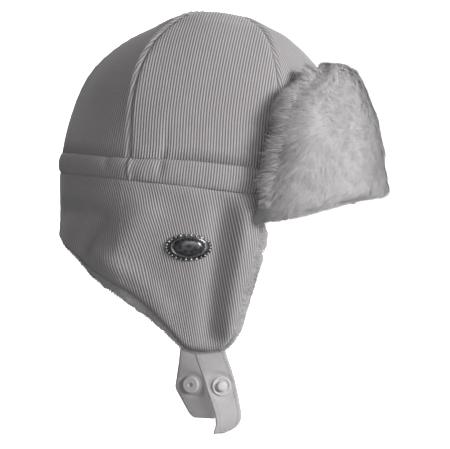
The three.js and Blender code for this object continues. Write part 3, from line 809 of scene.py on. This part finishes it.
def looped(outer, inner):  # a front and a back as one loop of rows
    return np.concatenate([outer, inner[::-1], outer[:1]])


def makeBrimCloth():
    across = np.linspace(0, 1, 105)
    acrosses, ups = np.meshgrid(across, np.linspace(0, 1, 33))
    back = mix(hat["bandBulge"] + hat["seamGap"], brim["standOff"],
               ease(ups * brim["frontTop"] / brim["foldHeight"] - 0.5))
    front = brim["standOff"] + brim["thickness"]
    points = looped(brimPoint(acrosses, ups, front), brimPoint(acrosses, ups, back))
    uv = stacked(across * 100, np.linspace(0, 16, len(points))[:, None])
    seat(gridMesh("brim_cloth", points, uv, corduroy, closed=True), "corduroy", "brim")


def inwards(across):  # the distance from the brim's nearer end
    return np.minimum(across, 1 - across)


def furThickness(across, up):
    edge = np.clip(np.minimum(up * 7, (1 - up) * 11), 0, 1)
    end = np.clip(inwards(across) * 6.5, 0, 1)
    roundOff = np.sqrt((1 - (1 - edge) ** 2 * 0.8) * (1 - (1 - end) ** 2 * 0.95))
    fold = brim["foldFur"] * (1 - ease(up * brim["frontTop"] / brim["foldFurHeight"]))
    crest = 1 - ease((1 - up) * brim["frontTop"] / brim["topFurHeight"])
    crest = brim["topFur"] * ease(inwards(across) * 5) * crest
    lumps = 0.9 * ripple(across * 17, up * 7, 51) + 0.4 * ripple(across * 34, up * 15, 52)
    front = brim["frontFur"] * ease((inwards(across) - 0.1) * 3) * (1 - 0.6 * bell(up, 0.12))
    return (brim["fur"] + front + fold + crest + lumps) * roundOff


def furLift(across, up):  # the fur's lower side rises towards the front, and its crest stays level there
    low = brim["lowLift"] * ease(inwards(across) * 5) + brim["frontLift"] * ease((inwards(across) - 0.2) * 5)
    crest = brim["crestLift"] * ease((inwards(across) - 0.03) * 6.5)
    return low * (1 - up) ** 6 + crest * bell(up - brim["crestUp"], 0.045)


def furPlace(across, up, out):
    across, up = np.clip(across, 0, 1), np.clip(up, 0, 1)
    return brimPoint(across, up, furBack + out, brim["overhang"], furLift(across, up))


def furSurface(across, up, sink):
    across, up = np.clip(across, 0, 1), np.clip(up, 0, 1)
    return furPlace(across, up, furThickness(across, up) - sink)


def makeFurBody():
    across = np.linspace(0, 1, 111)
    acrosses, ups = np.meshgrid(across, np.linspace(0, 1, 45))
    points = looped(furSurface(acrosses, ups, brim["sink"]), furPlace(acrosses, ups, 0))
    shade = mix(0.45, 0.9, ease(inwards(across) * 9))
    uv = stacked(shade, np.full((len(points), 1), 0.6))
    seat(gridMesh("fur_body", points, uv, furPile, closed=True), "fur", "brim_fur")


strands = {
    "counts": {"face": 74000, "start": 8500, "stop": 8500, "bottom": 11000, "top": 7000}, "pieces": 4,
    "length": 8.5, "endLength": 9.5, "edgeLength": 4.5, "sideCrest": 1.5, "middleCrest": 0.75, "width": 0.32,
    "nearEnds": 0.16, "endWidth": 0.13, "sink": 3.0, "swirl": 0.75, "loose": 0.26, "turnBack": 0.9,
    "locks": (70, 46), "gather": 0.16, "endGather": 0.5, "hollow": 0.78, "frontShade": 0.26, "topLight": 0.3,
}


def furRoots(rng, edge, count):
    # Places on the pile's face or on one of its narrow sides, with the way the pile lies there
    count = fewer(count)
    across, up, depth = rng.uniform(0, 1, (3, count))
    step = 0.004
    if edge == "face":
        crowd = rng.random(count) < strands["nearEnds"]
        across = np.where(crowd, np.mod((across - 0.5) * 0.2, 1), across)
        place = lambda a, b: furSurface(a, b, strands["sink"])
        root = place(across, up)
    else:
        across = {"start": across * 0.02, "stop": 1 - across * 0.02}.get(edge, across)
        up = {"bottom": up * 0.03, "top": 1 - up * 0.03}.get(edge, up)
        place = lambda a, b: furPlace(a, b, 5)
        root = mix(furPlace(across, up, 0), furSurface(across, up, brim["sink"]), depth[:, None] ** 0.7)
    alongAcross, alongUp = (
        unit(place(across + a, up + u) - place(across - a, up - u)) for a, u in ((step, 0), (0, step)))
    normal = unit(np.cross(alongAcross, alongUp))
    nearEnd = 1 - ease(inwards(across) / strands["endWidth"])
    aside = np.abs(across - 0.5)
    swirl = ripple(across * 9, up * 4, 61) + 0.6 * ripple(across * 19, up * 8, 62)
    loose = rng.normal(0, 1, count) * strands["loose"]
    if edge == "face":  # the pile lies back from the middle, up at the top and down at the bottom
        outwards = np.sign(across - 0.5) * ease(aside * 3)
        low, high = -mix(1.1, 1.6, nearEnd), mix(-0.5, 0.5, ease(aside * 4))
        heading = np.arctan2(mix(low, high, ease(up * 1.3 - 0.2)), outwards * 1.2)
        heading = heading + strands["swirl"] * swirl * (1 - 0.5 * nearEnd) + loose
        lift = 0.42 + 0.5 * rng.random(count) + 0.25 * nearEnd
        length = strands["length"] * mix(1, 1.45, nearEnd)
    elif edge in ("start", "stop"):  # locks that hang back over the crown
        heading = (math.pi if edge == "start" else 0) + 0.6 * ripple(up * 34, depth * 2.5, 64) + loose
        heading = heading + (1 if edge == "start" else -1) * strands["turnBack"] * (0.62 - up)
        lift = 0.05 + 0.5 * depth
        length = strands["endLength"] * (1 + 0.45 * ripple(up * 26, depth * 3, 65)) * mix(0.5, 1, ease(up * 3))
    else:
        heading = (-1 if edge == "bottom" else 1) * math.pi / 2 + 0.7 * swirl + loose * 0.3 / strands["loose"]
        lift = 0.1 + 0.5 * depth
        crest = mix(strands["sideCrest"], strands["middleCrest"], ease(2 - aside * 4))
        length = strands["edgeLength"] * (1 if edge == "bottom" else crest)
    flow = alongAcross * np.cos(heading)[:, None] + alongUp * np.sin(heading)[:, None]
    length = length * (1 + (0.35 + 0.4 * nearEnd) * (rng.random(count) - 0.5))
    gather = mix(strands["gather"], strands["endGather"], nearEnd)
    level = np.where(edge == "face", 9, np.floor(depth * 3)) + np.zeros(count)
    # Painted shade and light in the strands' colour: darker at middle height near the brim's ends and at the front,
    # darker deep inside the end locks and lighter near their tops, and lighter along the top edge
    hollow = bell(up - 0.5, 0.3)
    shade = mix(1 - strands["hollow"] * hollow, 1, ease(inwards(across) * 9))
    shade = shade - strands["frontShade"] * ease(inwards(across) * 4 - 1)
    if edge in ("start", "stop"):
        shade = mix(0.0, 0.42, depth ** 1.5) + 0.5 * (1 - hollow) + strands["topLight"] * ease(up * 10 - 8.4)
    if edge == "top":
        shade = shade + strands["topLight"]
    shade = shade + 0.12 * ripple(across * 60, up * 30, 67) + rng.normal(0, 0.05 + 0.13 * nearEnd, count)
    return across, up, level, root, flow, normal, lift, length, gather, np.clip(shade, 0, 1)


def makeFur():
    rng = np.random.default_rng(7)
    patches = [furRoots(rng, edge, count) for edge, count in strands["counts"].items()]
    across, up, level, root, flow, normal, lift, length, gather, shade = (
        np.concatenate(part) for part in zip(*patches))
    count = len(across)
    start = unit(flow + normal * lift[:, None])
    bend = rng.normal(0, 0.2, count)
    sideways = unit(np.cross(normal, flow))
    spine = []
    for share in ribbon["knots"]:
        droop = flow * share * 0.62 + sideways * (bend * share ** 2)[:, None] - normal * 0.2 * share ** 2
        spine.append(root + (start * 0.55 + droop) * (length * share)[:, None])
    spine = np.stack(spine, axis=1)
    # Neighbours lean together at their tips
    wobble = ripple(across * 40, up * 40, 66)
    columns, rows = strands["locks"]
    cell = np.stack([np.floor(across * columns + wobble), np.floor(up * rows + wobble), level], axis=1)
    _, lock = np.unique(cell, axis=0, return_inverse=True)
    lock = lock.ravel()
    tip = spine[:, 3]
    mean = np.stack([np.bincount(lock, tip[:, k]) for k in range(3)], axis=1) / np.bincount(lock)[:, None]
    pull = (mean[lock] - tip) * gather[:, None]
    spine = spine + pull[:, None] * ribbon["knots"][None, :, None] ** 2
    widths = strands["width"] * np.array([0.9, 1.0, 0.66]) * rng.uniform(0.75, 1.25, count)[:, None]
    half = sideways[:, None, :] * widths[:, :, None] / 2
    for k, part in enumerate(np.array_split(np.argsort(across), strands["pieces"])):
        seat(ribbonMesh(f"fur_{k + 1}", spine[part], half[part], shade[part], furPile), "fur")


makeBrimCloth()
makeFurBody()
makeFur()
print("brim and fur made")

# Chin tabs: strips sewn in behind the flaps' tips. Each row of a side's table holds the distance
# down, and the back and front edges from the tab's middle
tab = {
    "tuck": 9, "thickness": 1.6, "bury": 0.9, "columns": 26, "rows": 84, "edgeRound": 0.5, "rim": 0.16,
    "rimInset": 2.4, "turn": {-1: 0.807, 1: 0.782}, "twist": {-1: 22, 1: -18}, "bend": 14, "twistBy": 40,
    "wave": 0.7, "dimple": 0.9,
}
tabEdges = {
    -1: [(0, -10.6, 10.4), (11, -6.4, 14.2), (20, -2.8, 16.9), (33.4, 1.4, 19.6), (40.5, 3.7, 21),
         (45, 4.4, 20.8), (48.5, 4.2, 19), (51.5, 3, 15.5), (53.8, 2.8, 9)],
    1: [(0, -10.4, 10.4), (10, -10.6, 10.5), (23, -12.2, 10.8), (35, -14.1, 12.3), (37.5, -13.8, 12.7),
        (46.6, -8.9, 14.4), (54.5, -4.6, 15.8), (57.2, -2.6, 16), (58.3, 0, 14.5)],
}
tabDepth = plushFace + tab["bury"]
snap = {"across": {-1: 0, 1: -0.12}, "down": {-1: 22.6, 1: 34}, "steps": 48}


def flapStretch(side, turn, drop=1.0):  # mm of cloth for a whole turn
    ends = [flapPoint(side, np.array(turn + step), np.array(drop), 0) for step in (-0.01, 0.01)]
    return float(np.linalg.norm(ends[1] - ends[0])) / 0.02


def tabRow(side, down):  # the edges, smoothed a little, at a distance down
    table = np.array([(-tab["tuck"], *tabEdges[side][0][1:])] + tabEdges[side])
    steps = np.linspace(-1.5, 1.5, 7) * (down.max() - down)[..., None].clip(0, 1)
    return [np.interp(down[..., None] + steps, table[:, 0], table[:, k]).mean(axis=-1) for k in (1, 2)]


def tabPoint(side, across, down, inset):  # across runs from -1 at the back edge to 1 at the front edge
    back, front = tabRow(side, down)
    x = mix(back, front, (across + 1) / 2)
    middleTurn = tab["turn"][side]
    turn = middleTurn + x / flapStretch(side, middleTurn)
    tip = flapPoint(side, turn, 1 + np.minimum(0, down) / flap["drop"], -tabDepth)
    middle = flapPoint(side, np.array(middleTurn), np.array(1.0), -tabDepth)
    down = np.maximum(0, down)
    twist = math.radians(tab["twist"][side]) * ease(down / tab["twistBy"])
    flat = middle + stacked(x, (x - (back + front) / 2) * np.tan(twist), 0)
    sink = stacked(-np.sin(twist), np.cos(twist), 0) * -side
    # Near the flap the tab follows its form, lower down it hangs in a plane
    place = mix(tip, flat, ease(down / tab["bend"])[..., None])
    return place + sink * inset[..., None] - stacked(0, 0, down)


def tabWave(side, across, down):  # soft waves, and a dent where the cloth is drawn in round the fastener
    back, front = tabRow(side, down)
    away = np.hypot((across - snap["across"][side]) * (front - back) / 2, down - snap["down"][side])
    soft = tab["wave"] * ripple(down / 13 + side + 3, across * 0.9, 71) * ease(down / 12) * ease(away / 9)
    return soft + tab["dimple"] * side * bell(away - 7.6, 2.0)


def makeTab(name, side):
    across = np.linspace(-1, 1, tab["columns"] + 1)
    down = np.linspace(-tab["tuck"], tabEdges[side][-1][0], tab["rows"] + 1)
    acrosses, downs = np.meshgrid(across, down)
    back, front = tabRow(side, downs)
    toEdge = np.minimum((1 - np.abs(acrosses)) * (front - back) / 2, downs.max() - downs)
    thin = tab["edgeRound"] * (1 - ease(toEdge / 1.4)) ** 2
    thin = thin + tab["rim"] * bell(toEdge - tab["rimInset"], 0.5)
    thin = np.where(toEdge <= 0, tab["thickness"] / 2 - 0.05, thin)
    wave = tabWave(side, acrosses, downs)
    outer, inner = (tabPoint(side, acrosses, downs, inset - wave) for inset in (thin, tab["thickness"] - thin))
    flat = stacked(mix(back, front, (acrosses + 1) / 2), downs)
    points, uv = looped(outer, inner), looped(flat, flat)
    piece = gridMesh("tab_" + name, points, uv, woven, mirrored=side > 0, closed=True)
    seat(piece, "tab_cloth", "chin_tab_" + name)


for name, side in bothSides.items():
    makeTab(name, side)
print("tabs made")

# The halves of the fastener: each profile is radius and height off the cloth, from the axis out
profiles = {
    "stud": [(0, 2.9), (2.2, 2.85), (2.9, 2.65), (3.25, 2.2), (3.3, 1.6), (3.05, 1.0), (3.2, 0.3), (3.6, 0.1),
             (4.6, 0.1), (4.95, 0.25), (5.15, 0.6), (5.6, 0.75), (6.0, 0.6), (6.2, 0.35), (6.2, 0)],
    "socket": [(0, 0.1), (1.25, 0.1), (1.45, 0.3), (1.5, 1.1), (1.75, 1.35), (2.2, 1.4), (3.2, 1.3),
               (4.4, 1.28), (5.0, 1.36), (5.5, 1.3), (5.95, 1.0), (6.2, 0.5), (6.2, 0)],
    "cap": [(0, 1.5), (2, 1.48), (3.6, 1.3), (4.9, 1.0), (5.8, 0.6), (6.2, 0.1), (6.2, 0)],
}


def makeSnap(name, profile, side, outwards):
    bm = spun([(r * mm, h * mm) for r, h in profiles[profile] + [(0, 0)]], snap["steps"])
    across, down = snap["across"][side], snap["down"][side]
    at = lambda a, d: tabPoint(side, np.array(across + a), np.array(down + d),
                               np.array(0.0 if outwards else tab["thickness"]))
    right, low = unit(at(0.1, 0) - at(-0.1, 0)), unit(at(0, 1) - at(0, -1))
    facing = unit(np.cross(low, right)) * (1 if (side < 0) == outwards else -1)
    turn = Matrix((right, np.cross(facing, right), facing)).transposed()
    bmesh.ops.transform(bm, matrix=Matrix.Translation(Vector(at(0, 0)) * mm) @ turn.to_4x4(), verts=bm.verts)
    seat(fromBmesh("fine_" + name, bm, plastic), "snap_plastic", name)


makeSnap("snap_stud", "stud", -1, True)
makeSnap("snap_stud_cap", "cap", -1, False)
makeSnap("snap_socket", "socket", 1, False)
makeSnap("snap_socket_cap", "cap", 1, True)
print("snaps made")

# The oval ornament on the right flap, bent to the cloth
badge = {
    "length": 30, "height": 17, "turn": 0.722, "drop": 0.36, "rings": 30, "steps": 144, "standOff": 0.2,
    "beads": 26, "beadSize": 0.95, "beadRing": 0.93, "beadHeight": 1.15, "flutes": 40, "fluteDepth": 0.28,
}
badgeProfile = [  # share of the way to the edge, and height
    (0, 2.9), (0.2, 2.85), (0.4, 2.6), (0.54, 2.1), (0.6, 1.5), (0.62, 1.1), (0.655, 1.15), (0.68, 1.75),
    (0.72, 1.95), (0.76, 1.75), (0.8, 1.35), (0.88, 1.1), (0.96, 0.9), (0.99, 0.6), (1, 0)]
badgeStretch = flapStretch(-1, badge["turn"], badge["drop"])


def badgePoint(share, around, height):  # share of the way from the middle to the edge
    x = share * badge["length"] / 2 * np.cos(around)
    y = share * badge["height"] / 2 * np.sin(around)
    turn = badge["turn"] + x / badgeStretch
    drop = badge["drop"] - y / flap["drop"]
    return flapPoint(-1, turn, drop, badge["standOff"] + height)


def addBeads(bm):  # a ring of beads, in the second of the mesh's materials
    plate = len(bm.faces)
    for k in range(badge["beads"]):
        bead = bmesh.ops.create_uvsphere(bm, u_segments=14, v_segments=9, radius=badge["beadSize"] * mm)
        centre = badgePoint(badge["beadRing"], 2 * math.pi * k / badge["beads"], badge["beadHeight"])
        bmesh.ops.translate(bm, verts=bead["verts"], vec=Vector(centre) * mm)
    for face in list(bm.faces)[plate:]:
        face.material_index, face.smooth = 1, True
    bmesh.ops.recalc_face_normals(bm, faces=bm.faces)


def makeBadge():
    around = np.linspace(0, 2 * np.pi, badge["steps"] + 1)
    share = np.interp(np.linspace(0, 1, badge["rings"] + 1), np.linspace(0, 1, len(badgeProfile)),
                      [s for s, _ in badgeProfile])
    height = np.interp(share, *zip(*badgeProfile))
    arounds, shares = np.meshgrid(around, share)
    flutes = badge["fluteDepth"] * np.cos(arounds * badge["flutes"]) * bell(shares - 0.72, 0.035)
    top = badgePoint(shares, arounds, height[:, None] + flutes)
    under = badgePoint(shares[::-1], arounds[::-1], np.zeros_like(shares))
    points = np.concatenate([top, under[1:]])
    piece = gridMesh("oval_badge", points, stacked(around, np.arange(len(points))[:, None]), gunmetal)
    piece.data.materials.append(brightMetal)
    edited(piece.data, addBeads)
    seat(piece, "badge_metal", "badge")


makeBadge()
print("badge made")

# Sewing: short stitches of thread, each a rounded rod that dips into the cloth at its ends
stitch = {
    "pitch": 2.9, "share": 0.7, "width": 0.34, "height": 0.22, "sides": 6, "rings": 5,
    "fromSeam": 0.9, "fromEnd": 2.6,
}


def makeStitches(name, path, outward, slot):  # path and outward are rows of points and of directions
    rings, sides = stitch["rings"], stitch["sides"]
    length = arc(path)
    count = int(length[-1] / stitch["pitch"])
    at = (np.arange(count) + 0.5)[:, None] * length[-1] / count
    along = np.linspace(-0.5, 0.5, rings)
    where = at + along * stitch["pitch"] * stitch["share"]
    line, away = (np.stack([np.interp(where, length, part[:, k]) for k in range(3)], axis=-1)
                  for part in (path, outward))
    away = unit(away)
    side = unit(np.cross(unit(np.gradient(line, axis=1)), away))
    swell = np.sqrt(1 - (2 * along) ** 2 * 0.94)[None, :, None, None]
    ring = np.linspace(0, 2 * np.pi, sides, endpoint=False)[None, None, :, None]
    body = side[:, :, None] * np.cos(ring) * stitch["width"] / 2
    body = body + away[:, :, None] * np.sin(ring) * stitch["height"]
    verts = (line[:, :, None] + body * swell).reshape(-1, 3)
    rod = [range(sides)[::-1], range((rings - 1) * sides, rings * sides)]
    for r in range(0, (rings - 1) * sides, sides):
        for c in range(sides):
            rod.append((r + c, r + (c + 1) % sides, r + sides + (c + 1) % sides, r + sides + c))
    faces = [[first + k for k in face] for first in range(0, len(verts), rings * sides) for face in rod]
    mesh = bpy.data.meshes.new(name)
    mesh.from_pydata((verts * mm).tolist(), [], faces)
    mesh.update()
    layer = mesh.uv_layers.new(name="cloth")
    layer.data.foreach_set("uv", np.zeros(len(mesh.loops) * 2))
    seat(linked(name, mesh, thread), slot)


def sewSeams():
    angle = np.linspace(0, 2 * np.pi, 720)
    outward = stacked(np.cos(angle), np.sin(angle), 0)
    radius = openingRadius(angle)
    inside = stitch["fromSeam"]
    for name, out, level in (("low", 0.15, inside), ("high", 0.25, bandTop(angle) - inside)):
        makeStitches("band_stitches_" + name, ringPoint(radius + out, angle, level), outward, "corduroy")
    for name, side in bothSides.items():
        low = tabEdges[side][-1][0] - stitch["fromEnd"]
        rise = np.linspace(0.5, low, 60)
        turn = np.linspace(-1, 1, 30)[1:-1]
        down = np.concatenate([rise, np.full(len(turn), low), rise[::-1]])
        across = np.concatenate([np.full(60, -1.0), turn, np.full(60, 1.0)])
        back, front = tabRow(side, down)
        across = across * (1 - 2 * tab["rimInset"] / np.maximum(front - back, 6))
        for face, inset, way in (("outer", -0.02, -1), ("inner", tab["thickness"] + 0.02, 1)):
            at = lambda depth: tabPoint(side, across, down, depth + 0 * down)
            path = at(inset - tabWave(side, across, down))
            away = way * unit(at(inset + 1.0) - at(inset))
            makeStitches(f"tab_stitches_{name}_{face}", path, away, "tab_cloth")


sewSeams()
print("stitches made")

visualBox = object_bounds()
{name: [list(corner) for corner in box] for name, box in (("cad", cadBox), ("visual", visualBox))}
